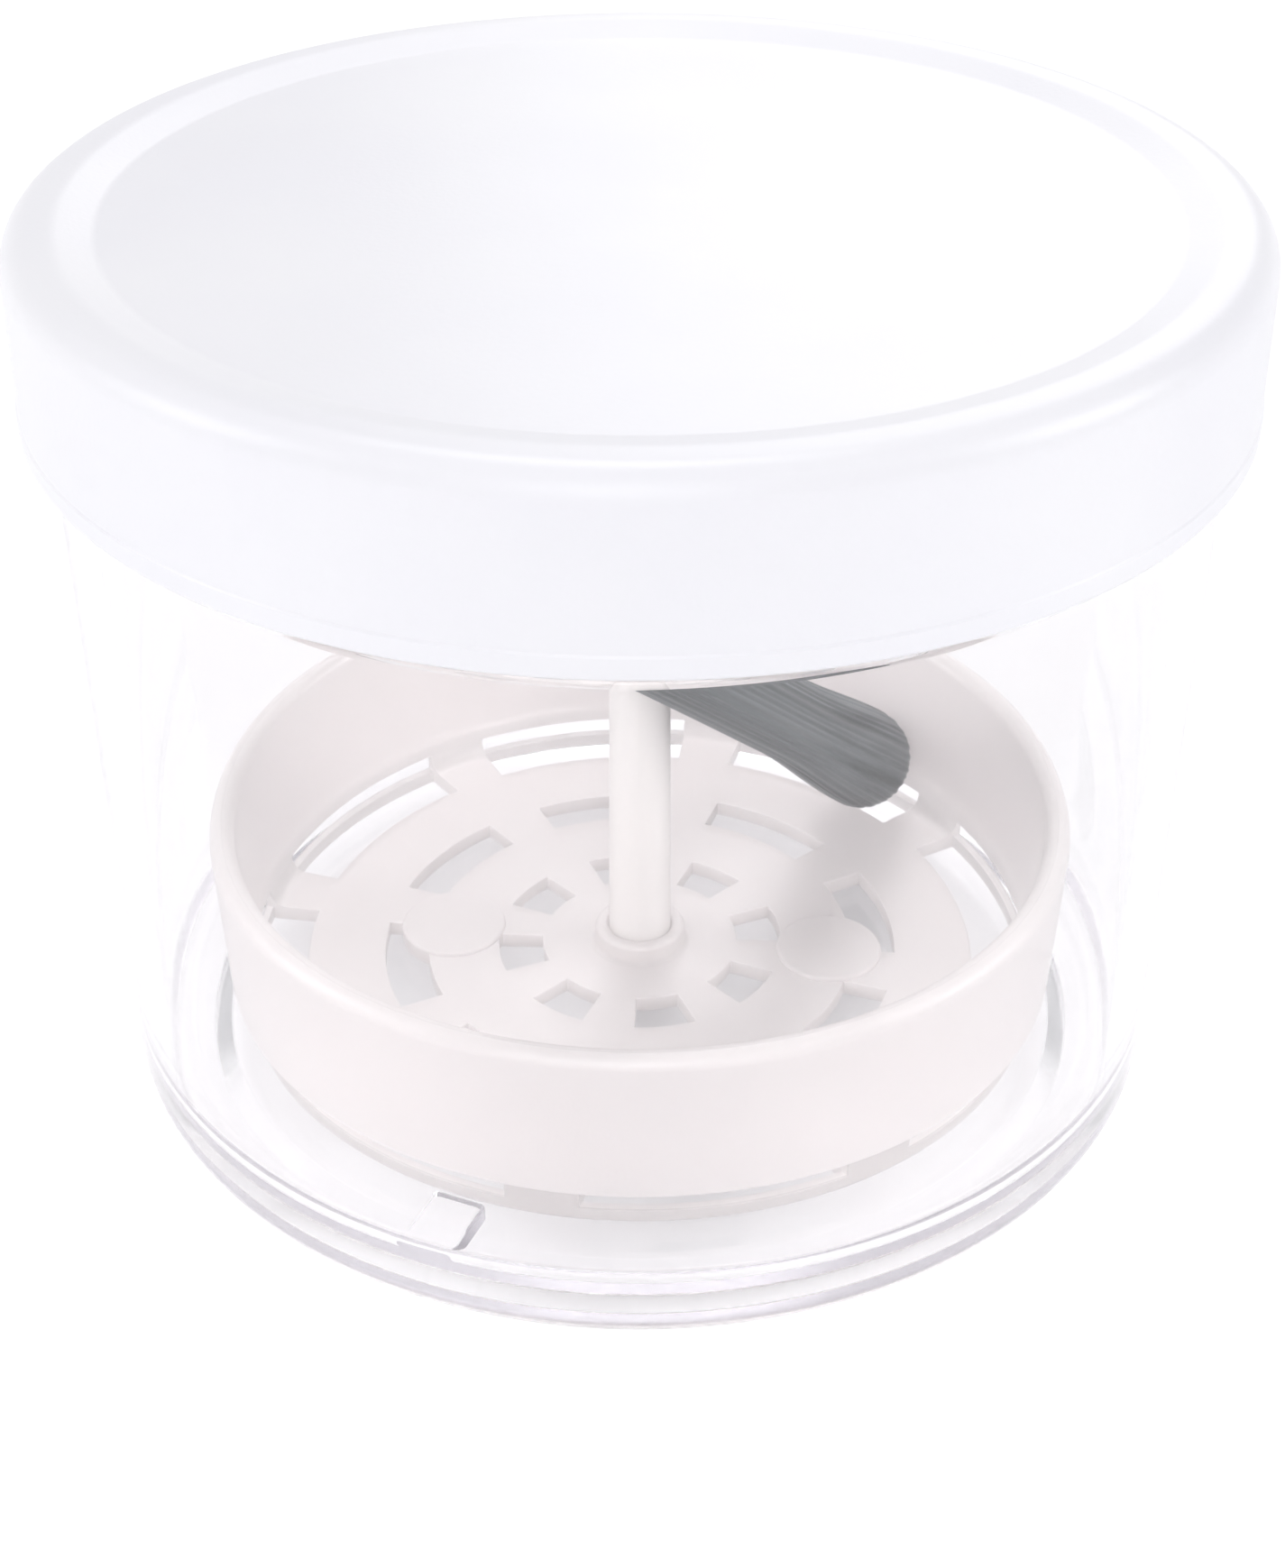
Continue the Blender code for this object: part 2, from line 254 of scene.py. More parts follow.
def to_object(name, mesh, sharp=SHARP_ANGLE):
    """Make a finished object of a bmesh: outward normals, smooth rounds, crisp edges."""
    bmesh.ops.recalc_face_normals(mesh, faces=mesh.faces)
    data = bpy.data.meshes.new(name)
    mesh.to_mesh(data)
    mesh.free()
    data.shade_smooth()
    data.set_sharp_from_angle(angle=math.radians(sharp))
    piece = bpy.data.objects.new(name, data)
    bpy.context.scene.collection.objects.link(piece)
    return piece


def weight_normals(piece):
    normals = piece.modifiers.new("normals", "WEIGHTED_NORMAL")
    normals.keep_sharp = True
    return piece


def turned(name, corners, segments=SEGMENTS, shape=None):
    """A round piece from its outline. The shape gives what to add to the radius at each point."""
    mesh = bmesh.new()
    ring_grid(mesh, rounded(corners), even_angles(segments), shape)
    return to_object(name, mesh)


def joined(piece, tool):
    """Add a tool to a piece as one solid, and remove the tool."""
    boolean = piece.modifiers.new("join", "BOOLEAN")
    boolean.operation = "UNION"
    boolean.solver = "EXACT"
    boolean.object = tool
    graph = bpy.context.evaluated_depsgraph_get()
    mesh = bpy.data.meshes.new_from_object(piece.evaluated_get(graph))
    piece.modifiers.remove(boolean)
    old = piece.data
    piece.data = mesh
    bpy.data.meshes.remove(old)
    bpy.data.objects.remove(tool, do_unlink=True)
    mesh.shade_smooth()
    mesh.set_sharp_from_angle(angle=math.radians(SHARP_ANGLE))
    return piece


def thread_height(azimuth, height):
    """Height of the screw ridge at a point of the neck, from 0 to THREAD_LIFT."""
    around = (azimuth - 90.0) / 360.0 % 1.0
    best = 0.0
    for turn in (around, around + 1.0):
        if turn > THREAD_TURNS:
            continue
        fade = smooth(min(turn, THREAD_TURNS - turn) / THREAD_FADE)
        offset = (height - THREAD_START - THREAD_PITCH * turn) / THREAD_HALF
        if abs(offset) < 1.0:
            best = max(best, fade * min(1.0, THREAD_CREST * math.cos(offset * math.pi / 2.0)))
    return best * THREAD_LIFT


# ---------------------------------------------------------------- materials


class Finish:
    """A procedural material: a Principled shader and the patterns that feed it."""

    def __init__(self, name, colour, roughness, **sockets):
        self.material = bpy.data.materials.new(name)
        self.material.use_nodes = True
        self.nodes = self.material.node_tree.nodes
        self.links = self.material.node_tree.links
        self.shader = self.nodes["Principled BSDF"]
        self.output = self.nodes["Material Output"]
        self.shader.inputs["Base Color"].default_value = (*colour, 1.0)
        self.shader.inputs["Roughness"].default_value = roughness
        for socket, value in sockets.items():
            self.shader.inputs[socket.replace("_", " ")].default_value = value
        self.place = self.nodes.new("ShaderNodeTexCoord").outputs["Object"]

    def noise(self, scale, detail=3.0, stretch=(1.0, 1.0, 1.0)):
        """Noise with a scale in features per metre, drawn out along the axes with a low stretch."""
        mapping = self.nodes.new("ShaderNodeMapping")
        mapping.inputs["Scale"].default_value = stretch
        self.links.new(self.place, mapping.inputs["Vector"])
        pattern = self.nodes.new("ShaderNodeTexNoise")
        pattern.inputs["Scale"].default_value = scale
        pattern.inputs["Detail"].default_value = detail
        self.links.new(mapping.outputs["Vector"], pattern.inputs["Vector"])
        return pattern.outputs["Fac"]

    def rise(self, start, end):
        """0 below one height of the piece and 1 above another, in a straight run between them."""
        parts = self.nodes.new("ShaderNodeSeparateXYZ")
        self.links.new(self.place, parts.inputs["Vector"])
        run = self.nodes.new("ShaderNodeMapRange")
        run.inputs["From Min"].default_value = start
        run.inputs["From Max"].default_value = end
        self.links.new(parts.outputs["Z"], run.inputs["Value"])
        return run.outputs["Result"]

    def beyond(self, radius):
        """1 farther than a radius from the Z axis, and 0 within it."""
        level = self.nodes.new("ShaderNodeVectorMath")
        level.operation = "MULTIPLY"
        level.inputs[1].default_value = (1.0, 1.0, 0.0)
        self.links.new(self.place, level.inputs[0])
        reach = self.nodes.new("ShaderNodeVectorMath")
        reach.operation = "LENGTH"
        self.links.new(level.outputs["Vector"], reach.inputs[0])
        outside = self.nodes.new("ShaderNodeMath")
        outside.operation = "GREATER_THAN"
        outside.inputs[1].default_value = radius
        self.links.new(reach.outputs["Value"], outside.inputs[0])
        return outside.outputs["Value"]

    def both(self, first, second):
        """1 where both patterns are 1."""
        product = self.nodes.new("ShaderNodeMath")
        product.operation = "MULTIPLY"
        self.links.new(first, product.inputs[0])
        self.links.new(second, product.inputs[1])
        return product.outputs["Value"]

    def tint(self, pattern, low, high):
        """Colour that runs from low to high over the middle of a pattern."""
        ramp = self.nodes.new("ShaderNodeValToRGB")
        ramp.color_ramp.elements[0].position = TINT_START
        ramp.color_ramp.elements[0].color = (*low, 1.0)
        ramp.color_ramp.elements[1].position = TINT_END
        ramp.color_ramp.elements[1].color = (*high, 1.0)
        self.links.new(pattern, ramp.inputs["Fac"])
        self.links.new(ramp.outputs["Color"], self.shader.inputs["Base Color"])

    def gloss(self, pattern, low, high):
        """Roughness that runs from low to high over the middle of a pattern."""
        spread = self.nodes.new("ShaderNodeMapRange")
        spread.inputs["From Min"].default_value = GLOSS_START
        spread.inputs["From Max"].default_value = GLOSS_END
        spread.inputs["To Min"].default_value = low
        spread.inputs["To Max"].default_value = high
        self.links.new(pattern, spread.inputs["Value"])
        self.links.new(spread.outputs["Result"], self.shader.inputs["Roughness"])

    def relief(self, pattern, depth):
        """Bump of a depth in metres."""
        bump = self.nodes.new("ShaderNodeBump")
        bump.inputs["Strength"].default_value = 1.0
        bump.inputs["Distance"].default_value = depth
        self.links.new(pattern, bump.inputs["Height"])
        self.links.new(bump.outputs["Normal"], self.shader.inputs["Normal"])

    def darker(self, pattern, share):
        """Only a share of the colour where a pattern is 1. It comes after the tint."""
        kept = self.nodes.new("ShaderNodeMapRange")
        kept.inputs["To Min"].default_value = 1.0
        kept.inputs["To Max"].default_value = share
        self.links.new(pattern, kept.inputs["Value"])
        dimmed = self.nodes.new("ShaderNodeVectorMath")
        dimmed.operation = "SCALE"
        colour = self.shader.inputs["Base Color"].links[0].from_socket
        self.links.new(colour, dimmed.inputs[0])
        self.links.new(kept.outputs["Result"], dimmed.inputs["Scale"])
        self.links.new(dimmed.outputs["Vector"], self.shader.inputs["Base Color"])

    def passes_light(self, share):
        """A share of the lamps' light goes through the piece to what stands behind it."""
        shadow = self.nodes.new("ShaderNodeLightPath").outputs["Is Shadow Ray"]
        clear = self.nodes.new("ShaderNodeBsdfTransparent")
        clear.inputs["Color"].default_value = (share, share, share, 1.0)
        mix = self.nodes.new("ShaderNodeMixShader")
        self.links.new(shadow, mix.inputs["Fac"])
        self.links.new(self.shader.outputs["BSDF"], mix.inputs[1])
        self.links.new(clear.outputs["BSDF"], mix.inputs[2])
        self.links.new(mix.outputs["Shader"], self.output.inputs["Surface"])

    def scatters(self, weight, depth):
        """Light that spreads inside the plastic over a depth in metres."""
        self.shader.inputs["Subsurface Weight"].default_value = weight
        self.shader.inputs["Subsurface Radius"].default_value = (1.0, 1.0, 1.0)
        self.shader.inputs["Subsurface Scale"].default_value = depth

    def absorbs(self, colour, density):
        """Clear plastic that takes on a colour where it is thick."""
        volume = self.nodes.new("ShaderNodeVolumeAbsorption")
        volume.inputs["Color"].default_value = (*colour, 1.0)
        volume.inputs["Density"].default_value = density
        self.links.new(volume.outputs["Volume"], self.output.inputs["Volume"])


def clear_styrene():
    """Polished walls over a slightly duller thick base."""
    finish = Finish("clear_styrene", (0.96, 0.955, 0.96), 0.02, Transmission_Weight=1.0, IOR=1.5)
    finish.gloss(finish.rise(2.5 * FLOOR_TOP, 1.2 * FLOOR_TOP), 0.02, 0.085)
    finish.relief(finish.noise(45.0, 1.0, (1.0, 1.0, 0.25)), 0.02 * MM)
    finish.tint(finish.noise(30.0), (0.955, 0.95, 0.956), (0.965, 0.96, 0.965))
    finish.absorbs((0.80, 0.77, 0.83), 11.0)
    finish.passes_light(0.99)
    return finish.material


def white_polypropylene():
    finish = Finish("white_polypropylene", (0.765, 0.76, 0.79), 0.32)
    finish.tint(finish.noise(40.0), (0.755, 0.75, 0.785), (0.775, 0.77, 0.795))
    finish.gloss(finish.noise(60.0), 0.3, 0.36)
    finish.relief(finish.noise(2600.0, 2.0), 0.012 * MM)
    finish.passes_light(0.96)
    return finish.material


def foam_liner():
    finish = Finish("foam_liner", (0.86, 0.86, 0.84), 0.7)
    cells = finish.noise(2200.0, 3.0)
    finish.tint(cells, (0.80, 0.80, 0.78), (0.88, 0.88, 0.86))
    finish.relief(cells, 0.06 * MM)
    finish.passes_light(0.96)
    return finish.material


def frosted_polypropylene():
    """Frosted plastic, with painted shade in the recessed band under the wall, where no light comes from
    inside.
    """
    finish = Finish("frosted_polypropylene", (0.875, 0.836, 0.834), 0.32, Transmission_Weight=0.4, IOR=1.49)
    finish.scatters(0.5, 4.0 * MM)
    finish.tint(finish.noise(70.0), (0.865, 0.826, 0.824), (0.885, 0.846, 0.844))
    # Painted shade: the colour drops to 0.8 on the outer band below the wall's bottom edge, in place of the
    # shade in that recess.
    shade_band_height = finish.rise(WALL_BOTTOM + 0.1 * MM, WALL_BOTTOM - 0.1 * MM)
    finish.darker(finish.both(shade_band_height, finish.beyond(BAND_RADIUS - 0.2 * MM)), 0.8)
    finish.gloss(finish.noise(90.0), 0.3, 0.36)
    finish.relief(finish.noise(3000.0, 2.0), 0.01 * MM)
    finish.passes_light(0.9)
    return finish.material


def natural_polypropylene():
    finish = Finish("natural_polypropylene", (0.97, 0.93, 0.92), 0.35, Transmission_Weight=0.2, IOR=1.49)
    finish.scatters(0.5, 2.0 * MM)
    finish.tint(finish.noise(60.0, 2.0, (1.0, 1.0, 0.3)), (0.96, 0.915, 0.9), (0.98, 0.945, 0.93))
    finish.gloss(finish.noise(80.0), 0.33, 0.4)
    finish.relief(finish.noise(2500.0, 2.0), 0.01 * MM)
    return finish.material


def grey_plastic():
    """Dark plastic with fine lines along the stick."""
    finish = Finish("grey_plastic", (0.11, 0.125, 0.13), 0.42)
    lines = finish.noise(900.0, 3.0, (1.0, 1.0, 0.02))
    finish.tint(lines, (0.035, 0.042, 0.048), (0.122, 0.138, 0.148))
    finish.gloss(finish.noise(300.0, 2.0, (1.0, 1.0, 0.05)), 0.28, 0.42)
    finish.relief(lines, 0.05 * MM)
    return finish.material


def pale_floor():
    finish = Finish("pale_floor", (0.97, 0.97, 0.975), 0.7)
    finish.tint(finish.noise(3.0), (0.965, 0.965, 0.97), (0.975, 0.975, 0.98))
    return finish.material


# ---------------------------------------------------------------- pieces


def finished(piece, body, node, material):
    """Hang a piece on its body in place of its CAD node."""
    piece.data.materials.clear()
    piece.data.materials.append(material)
    weight_normals(piece)
    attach(piece, body)
    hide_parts(node)
    return piece


def build_jar():
    """The clear body: floor, wall and neck inside, then thread, shoulder, wall and recessed base outside."""
    base = JAR_RADIUS - BASE_INSET
    neck_high = (NECK_RADIUS, JAR_TOP - 0.5 * MM)
    neck_low = (NECK_RADIUS, SHOULDER + 0.8 * MM)
    gate = BASE_RECESS - GATE_DEPTH
    corners = [(0.0, FLOOR_TOP, 0.0), (base - WALL, FLOOR_TOP, INNER_FILLET)]
    corners += [(JAR_RADIUS - WALL, SHOULDER - 0.8 * MM, 0.6 * MM)]
    corners += [(NECK_BORE, SHOULDER + 2.0 * MM, 0.6 * MM)]
    corners += [(NECK_BORE, JAR_TOP, 0.5 * MM), (NECK_RADIUS, JAR_TOP, 0.4 * MM)]
    corners += rows_between(neck_high, neck_low, THREAD_ROWS)
    corners += [(NECK_RADIUS, SHOULDER, 0.4 * MM), (JAR_RADIUS, SHOULDER, 0.9 * MM)]
    corners += [(base, 0.0, OUTER_FILLET), (FOOT_RADIUS, 0.0, 0.4 * MM)]
    corners += [(FOOT_RADIUS - FOOT_SLOPE, BASE_RECESS, 0.6 * MM), (GATE_RADIUS, BASE_RECESS, 0.2 * MM)]
    corners += [(GATE_RADIUS - 0.5 * MM, gate, 0.15 * MM), (0.0, gate, 0.0)]

    def ridge(azimuth, radius, height):
        on_neck = abs(radius - NECK_RADIUS) < 0.01 * MM and height > SHOULDER
        return thread_height(azimuth, height) if on_neck else 0.0

    jar = turned("clear_jar", corners, shape=ridge)
    return joined(jar, build_rib())


def build_rib():
    """The small block moulded on the jar floor, from beside the basket into the wall."""
    length = JAR_RADIUS - BASE_INSET - WALL / 2.0 - RIB_INNER
    height = RIB_TOP - FLOOR_TOP / 2.0
    block = bmesh.new()
    bmesh.ops.create_cube(block, size=1.0)
    bmesh.ops.scale(block, vec=(RIB_WIDTH, length, height), verts=block.verts)
    edges = list(block.edges)
    bmesh.ops.bevel(block, geom=edges, offset=RIB_EDGE, segments=4, profile=0.5, affect="EDGES")
    centre = polar(RIB_INNER + length / 2.0, RIB_AZIMUTH, RIB_TOP - height / 2.0)
    place = Matrix.Translation(centre) @ Matrix.Rotation(math.radians(RIB_AZIMUTH), 4, "Z")
    bmesh.ops.transform(block, matrix=place, verts=block.verts)
    return to_object("rib", block)


def build_lid():
    """The cap: sunken panel, rounded shoulder and skirt outside, then the threaded bore."""
    panel = LID_TOP - PANEL_SINK
    under = LID_TOP - LID_THICKNESS
    bead = LID_BOTTOM + BEAD_HEIGHT
    bore = LID_RADIUS - LID_WALL
    top_radius = LID_RADIUS - 0.24 * MM
    corners = [(0.0, panel, 0.0), (PANEL_RADIUS, panel, 2.0 * MM), (RIM_RADIUS, LID_TOP, 3.0 * MM)]
    corners += [(top_radius, LID_TOP, 2.1 * MM), (LID_RADIUS - 0.12 * MM, bead + 0.15 * MM, 0.1 * MM)]
    corners += [(LID_RADIUS, bead, 0.1 * MM), (LID_RADIUS, LID_BOTTOM, 0.35 * MM)]
    corners += [(bore, LID_BOTTOM, 0.35 * MM)]
    corners += rows_between((bore, LID_BOTTOM + 0.5 * MM), (bore, under - 1.5 * MM), THREAD_ROWS)
    corners += [(bore, under, 0.9 * MM), (0.0, under, 0.0)]

    def ridge(azimuth, radius, height):
        return -thread_height(azimuth, height) if abs(radius - bore) < 0.01 * MM else 0.0

    return turned("screw_lid", corners, shape=ridge)


def build_liner():
    corners = [(0.0, LINER_TOP, 0.0), (LINER_RADIUS, LINER_TOP, 0.25 * MM)]
    corners += [(LINER_RADIUS, LINER_BOTTOM, 0.25 * MM), (0.0, LINER_BOTTOM, 0.0)]
    return turned("sealing_liner", corners)


def basket_corners():
    """Outline from the post's socket over the floor and wall, and back under the floor to the axis."""
    crown = 0.95 * MM
    corners = [(0.0, SOCKET_BOTTOM, 0.0), (SOCKET_RADIUS, SOCKET_BOTTOM, 0.2 * MM)]
    corners += [(SOCKET_RADIUS, COLLAR_TOP, 0.25 * MM), (COLLAR_RADIUS, COLLAR_TOP, 0.45 * MM)]
    corners += [(COLLAR_RADIUS + 0.1 * MM, PLATE_TOP, 0.5 * MM)]
    corners += [(radius, PLATE_TOP, 0.0) for radius in opening_radii()]
    corners += [(BASKET_BORE, PLATE_TOP, 1.2 * MM), (BASKET_BORE, WINDOW_TOP, 0.0)]
    corners += [(BASKET_BORE + 0.5 * MM, BASKET_TOP, crown), (BASKET_RADIUS, BASKET_TOP, crown)]
    corners += [(BASKET_WALL, WALL_BOTTOM, 0.4 * MM), (BAND_RADIUS, WALL_BOTTOM, 0.0)]
    corners += [(BAND_RADIUS, WINDOW_TOP, 0.0), (BAND_RADIUS, SKIRT_TOP, 0.0)]
    corners += [(BAND_RADIUS, BASKET_BOTTOM, 0.4 * MM), (SKIRT_INNER, BASKET_BOTTOM, 0.0)]
    corners += [(radius, BASKET_BOTTOM, 0.0) for radius in reversed(opening_radii())]
    corners += [(0.0, BASKET_BOTTOM, 0.0)]
    return corners


def opening_radii():
    """Radii at which an opening in the floor starts or ends, from the middle outwards."""
    return (*HOLE_RING[:2], *SLOT_RING[:2], WINDOW_INNER)


def basket_azimuths():
    """Grid lines round the basket, with one on each side of every opening."""
    half = 180.0 / OPENINGS_PER_RING
    side = [3.0, 6.0, 9.0, HOLE_RING[2], SLOT_RING[2], WINDOW_HALF, 20.0]
    offsets = [-half] + [-value for value in reversed(side)] + [0.0] + side
    azimuths = []
    for index in range(OPENINGS_PER_RING):
        centre = FIRST_OPENING + 2.0 * half * index
        azimuths += [centre + offset for offset in offsets]
    return azimuths


def row_index(points, radius, height):
    """The row of the outline that passes through a point."""
    target = Vector((radius, height))
    return min(range(len(points)), key=lambda index: (points[index] - target).length)


def span(start, end):
    """The whole numbers from start to end, upwards or downwards."""
    step = 1 if end >= start else -1
    return list(range(start, end + step, step))


def skin_removed(mesh, grid, start, end, columns):
    """Take away the faces of one skin between two rows and the first and last column."""
    doomed = []
    for row in range(min(start, end), max(start, end)):
        for column in columns[:-1]:
            after = (column + 1) % len(grid[0])
            wanted = {grid[row][column], grid[row][after], grid[row + 1][after], grid[row + 1][column]}
            doomed += [face for face in grid[row][column].link_faces if set(face.verts) == wanted]
    bmesh.ops.delete(mesh, geom=doomed, context="FACES_ONLY")


def walled(mesh, first, second, columns):
    """Faces between two rows of vertices, over the columns of an opening."""
    faces = []
    for column in columns[:-1]:
        after = (column + 1) % len(first)
        faces.append(mesh.faces.new((first[column], first[after], second[after], second[column])))
    return faces


def cut_through(mesh, grid, upper, lower, columns):
    """Cut a hole between two rows of the upper skin and two of the lower, and wall it round."""
    skin_removed(mesh, grid, *upper, columns)
    skin_removed(mesh, grid, *lower, columns)
    faces = []
    for top, bottom in zip(upper, lower):
        faces += walled(mesh, grid[top], grid[bottom], columns)
    for column in (columns[0], columns[-1]):
        path = [grid[row][column] for row in span(*upper) + span(*reversed(lower))]
        faces.append(mesh.faces.new(path))
    return faces


def cut_window(mesh, grid, rows, columns):
    """Cut a corner window: through the floor beside the wall, and through the band above its skirt."""
    skin_removed(mesh, grid, rows["plate_top"], rows["inner_head"], columns)
    skin_removed(mesh, grid, rows["plate_bottom"], rows["skirt_foot"], columns)
    skin_removed(mesh, grid, rows["outer_head"], rows["outer_sill"], columns)
    sill = [None] * len(grid[0])
    for column in columns:
        foot = grid[rows["skirt_foot"]][column].co
        sill[column] = mesh.verts.new((foot.x, foot.y, SKIRT_TOP))
    faces = walled(mesh, grid[rows["plate_top"]], grid[rows["plate_bottom"]], columns)
    faces += walled(mesh, grid[rows["inner_head"]], grid[rows["outer_head"]], columns)
    faces += walled(mesh, grid[rows["outer_sill"]], sill, columns)
    faces += walled(mesh, sill, grid[rows["skirt_foot"]], columns)
    for column in (columns[0], columns[-1]):
        path = [grid[row][column] for row in span(rows["plate_top"], rows["inner_head"])]
        path += [grid[rows["outer_head"]][column], grid[rows["outer_sill"]][column], sill[column]]
        path += [grid[rows["skirt_foot"]][column], grid[rows["plate_bottom"]][column]]
        faces.append(mesh.faces.new(path))
    return faces


def build_basket():
    mesh = bmesh.new()
    points = rounded(basket_corners())
    azimuths = basket_azimuths()
    grid = ring_grid(mesh, points, azimuths)
    top_row = [row_index(points, radius, PLATE_TOP) for radius in opening_radii()]
    low_row = [row_index(points, radius, BASKET_BOTTOM) for radius in opening_radii()]
    window = {"plate_top": top_row[4], "inner_head": row_index(points, BASKET_BORE, WINDOW_TOP)}
    window["plate_bottom"] = low_row[4]
    window["skirt_foot"] = row_index(points, SKIRT_INNER, BASKET_BOTTOM)
    window["outer_head"] = row_index(points, BAND_RADIUS, WINDOW_TOP)
    window["outer_sill"] = row_index(points, BAND_RADIUS, SKIRT_TOP)
    cut = []
    for index in range(OPENINGS_PER_RING):
        centre = FIRST_OPENING + 360.0 * index / OPENINGS_PER_RING
        near = {half: [c for c, azimuth in enumerate(azimuths) if abs(azimuth - centre) < half + 0.01]
                for half in (HOLE_RING[2], SLOT_RING[2], WINDOW_HALF)}
        cut += cut_through(mesh, grid, top_row[0:2], low_row[0:2], near[HOLE_RING[2]])
        cut += cut_through(mesh, grid, top_row[2:4], low_row[2:4], near[SLOT_RING[2]])
        cut += cut_window(mesh, grid, window, near[WINDOW_HALF])
    bmesh.ops.recalc_face_normals(mesh, faces=mesh.faces)
    edges = [edge for face in cut for edge in face.edges if edge.calc_face_angle(0.0) > math.radians(40.0)]
    edges = list(dict.fromkeys(edges))
    bmesh.ops.bevel(mesh, geom=edges, offset=OPENING_EDGE, segments=2, profile=0.5, affect="EDGES",
                    clamp_overlap=True)
    basket = to_object("slotted_basket", mesh)
    for azimuth in PAD_AZIMUTHS:
        basket = joined(basket, build_pad(azimuth))
    return basket


def build_pad(azimuth):
    """A low round pad in the basket floor."""
    corners = [(0.0, PAD_TOP, 0.0), (PAD_RADIUS, PAD_TOP, 0.2 * MM)]
    corners += [(PAD_RADIUS, PAD_BOTTOM, 0.1 * MM), (0.0, PAD_BOTTOM, 0.0)]
    pad = turned("pad", corners, segments=72)
    pad.data.transform(Matrix.Translation(polar(PAD_RING, azimuth)))
    return pad


def build_post():
    """The rod in the basket's collar. It gets a little thinner upwards."""
    top_radius = POST_RADIUS - 0.36 * MM
    corners = [(0.0, POST_TOP, 0.0), (top_radius, POST_TOP, 1.2 * MM)]
    corners += [(POST_RADIUS, POST_BOTTOM, 0.3 * MM), (0.0, POST_BOTTOM, 0.0)]
    return turned("lifting_post", corners, segments=96)


def pestle_outline(length, rows=60, cap_rows=14):
    """(radius, distance from the tip's centre) from the butt's end to the tip's end."""
    points = []
    for step in range(cap_rows + 1):
        angle = math.pi / 2.0 * (1.0 - step / cap_rows)
        points.append((BUTT_RADIUS * math.cos(angle), length + BUTT_RADIUS * math.sin(angle)))
    for step in range(1, rows):
        distance = length * (1.0 - step / rows)
        flare = smooth(1.0 - distance / FLARE_LENGTH)
        shaft = SHAFT_RADIUS + (BUTT_RADIUS - SHAFT_RADIUS) * distance / length
        points.append((shaft + (TIP_RADIUS - SHAFT_RADIUS) * flare, distance))
    for step in range(cap_rows + 1):
        angle = math.pi / 2.0 * step / cap_rows
        points.append((TIP_RADIUS * math.cos(angle), -TIP_RADIUS * math.sin(angle)))
    points[0] = (0.0, points[0][1])
    points[-1] = (0.0, points[-1][1])
    return points


def build_pestle():
    """Built along its own Z with the tip's centre at its origin, then laid on the axis."""
    chance = random.Random(SEED)
    waves = [(count, chance.uniform(0.0, 2.0 * math.pi), chance.uniform(0.5, 1.0)) for count in RIDGES_ROUND]
    axis = BUTT_CENTRE - TIP_CENTRE

    def ridges(azimuth, radius, height):
        angle = math.radians(azimuth)
        total = sum(weight * math.cos(count * angle + phase) for count, phase, weight in waves)
        depth = RIDGE_DEPTH * smooth(radius / (2.0 * MM)) * smooth((axis.length - height) / (9.0 * MM))
        return -depth * (0.5 + 0.5 * math.tanh(total))

    mesh = bmesh.new()
    ring_grid(mesh, pestle_outline(axis.length), even_angles(288), ridges)
    pestle = to_object("round_pestle", mesh, sharp=60.0)
    pestle.rotation_mode = "QUATERNION"
    pestle.rotation_quaternion = axis.to_track_quat("Z", "Y")
    pestle.location = TIP_CENTRE
    return pestle


# ---------------------------------------------------------------- room


def build_floor():
    mesh = bmesh.new()
    bmesh.ops.create_circle(mesh, cap_ends=True, segments=96, radius=FLOOR_RADIUS)
    bmesh.ops.translate(mesh, vec=(0.0, 0.0, -FLOOR_GAP), verts=mesh.verts)
    floor = to_object("pale_floor", mesh)
    floor.data.materials.append(pale_floor())


def build_world():
    """A white tent: brightest at the horizon, greyer above."""
    world = bpy.data.worlds.new("white_tent")
    bpy.context.scene.world = world
    world.use_nodes = True
    nodes, links = world.node_tree.nodes, world.node_tree.links
    place = nodes.new("ShaderNodeTexCoord").outputs["Generated"]
    parts = nodes.new("ShaderNodeSeparateXYZ")
    ramp = nodes.new("ShaderNodeValToRGB")
    ramp.color_ramp.elements[0].position = 0.0
    ramp.color_ramp.elements[0].color = HORIZON_COLOUR
    ramp.color_ramp.elements[1].position = 0.5
    ramp.color_ramp.elements[1].color = UPPER_COLOUR
    links.new(place, parts.inputs["Vector"])
    links.new(parts.outputs["Z"], ramp.inputs["Fac"])
    links.new(ramp.outputs["Color"], nodes["Background"].inputs["Color"])
    nodes["Background"].inputs["Strength"].default_value = 1.0


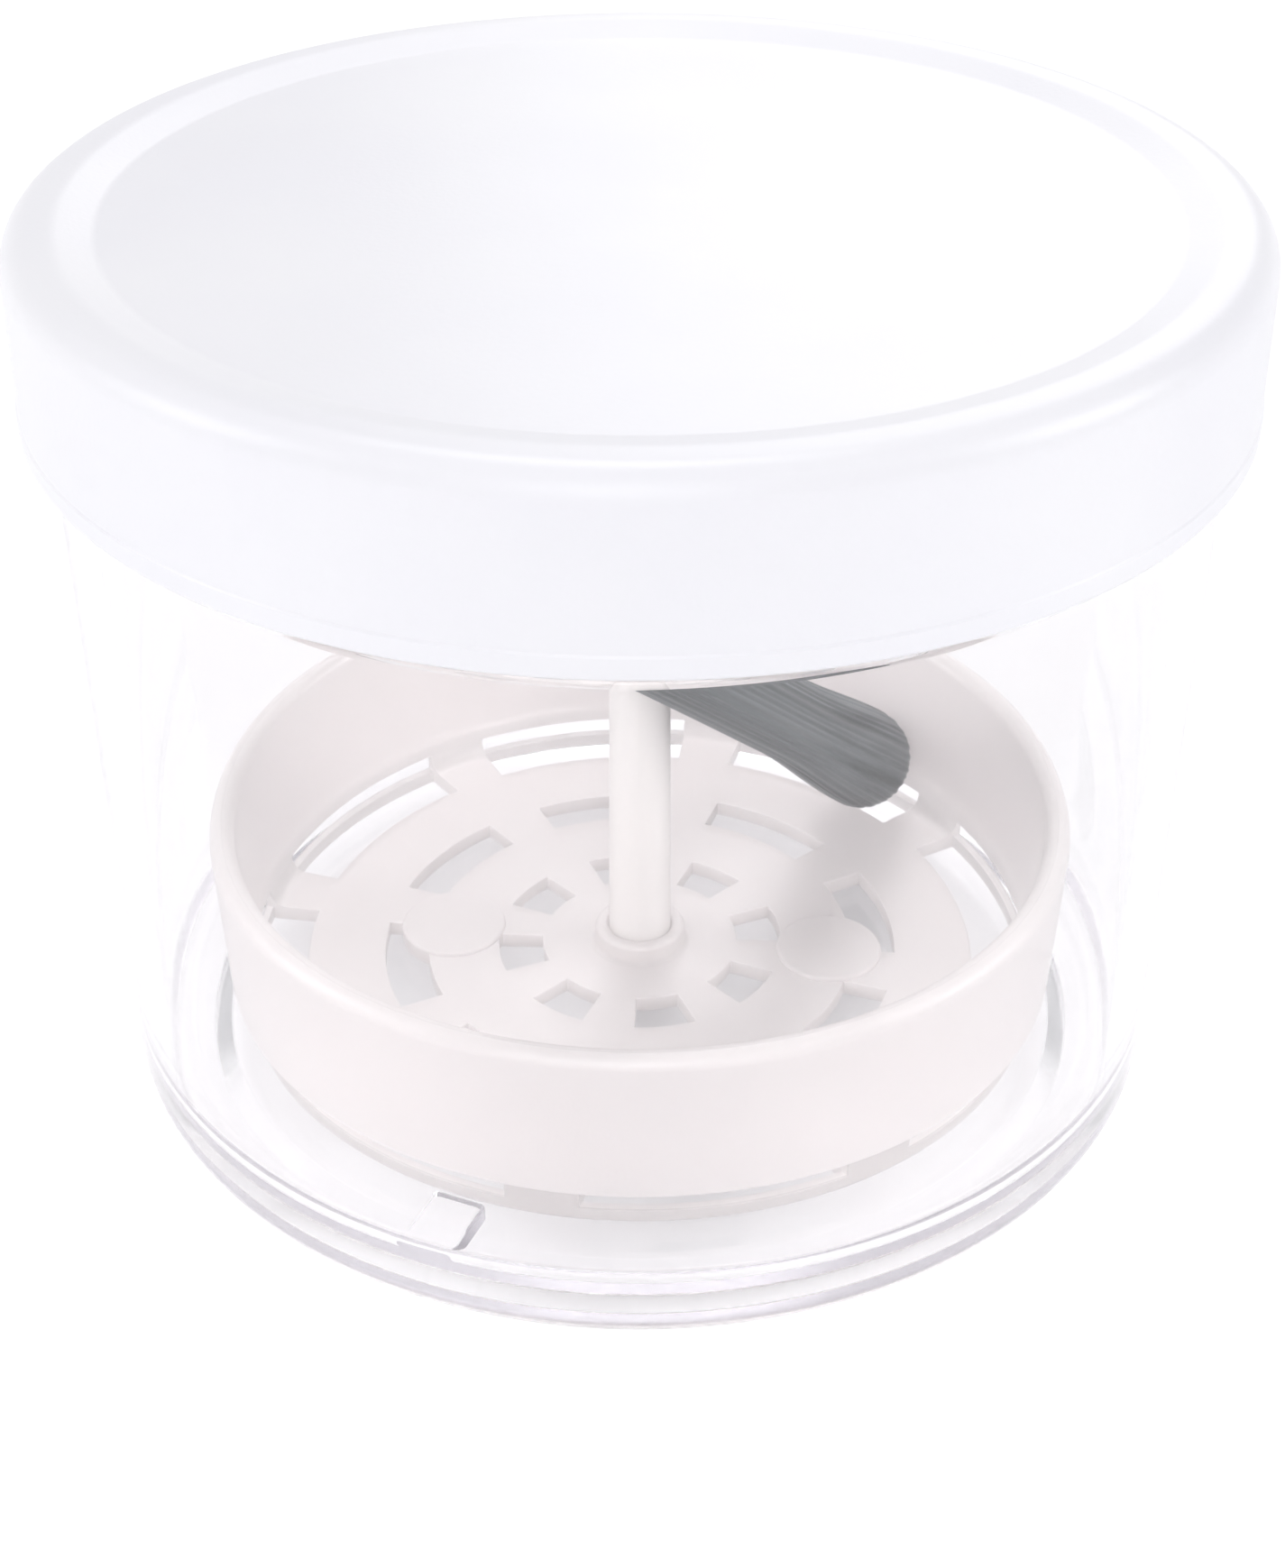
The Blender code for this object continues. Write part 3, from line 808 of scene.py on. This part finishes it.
def build_light(name, azimuth, elevation, spread, strength):
    light = bpy.data.lights.new(name, "SUN")
    light.energy = strength
    light.angle = math.radians(spread)
    lamp = bpy.data.objects.new(name, light)
    bpy.context.scene.collection.objects.link(lamp)
    rise = math.radians(elevation)
    source = polar(math.cos(rise), azimuth, math.sin(rise))
    lamp.rotation_euler = source.to_track_quat("Z", "Y").to_euler()


def build_ceiling():
    """A white ceiling that only gloss and glass show."""
    light = bpy.data.lights.new("ceiling", "AREA")
    light.size = CEILING_SIZE
    light.energy = CEILING_POWER
    lamp = bpy.data.objects.new("ceiling", light)
    lamp.location = (0.0, 0.0, CEILING_HEIGHT)
    lamp.visible_camera = False
    lamp.visible_diffuse = False
    bpy.context.scene.collection.objects.link(lamp)


def build_camera():
    camera = bpy.data.cameras.new("camera")
    camera.lens = EYE_LENS
    camera.sensor_width = 36.0
    camera.shift_x = EYE_SHIFT
    camera.clip_start = 0.01
    camera.clip_end = 50.0
    eye = bpy.data.objects.new("camera", camera)
    bpy.context.scene.collection.objects.link(eye)
    eye.location = (0.0, -EYE_BACK * JAR_RADIUS, EYE_UP * JAR_RADIUS)
    eye.rotation_euler = (math.pi / 2.0 - EYE_TILT, 0.0, 0.0)
    bpy.context.scene.camera = eye


def set_tones():
    """Plain tones, and light paths long enough for the clear base."""
    scene = bpy.context.scene
    scene.view_settings.view_transform = "Standard"
    scene.cycles.max_bounces = LIGHT_BOUNCES
    scene.cycles.glossy_bounces = LIGHT_BOUNCES
    scene.cycles.transmission_bounces = LIGHT_BOUNCES


build_camera()
build_floor()
build_world()
build_ceiling()
for settings in LIGHTS:
    build_light(*settings)
set_tones()

finished(build_jar(), "jar_body", "jar", clear_styrene())
finished(build_lid(), "lid_body", "lid", white_polypropylene())
finished(build_liner(), "liner_body", "lid_liner", foam_liner())
finished(build_basket(), "basket_body", "basket", frosted_polypropylene())
finished(build_post(), "basket_body", "post", natural_polypropylene())
finished(build_pestle(), "pestle_body", "pestle", grey_plastic())
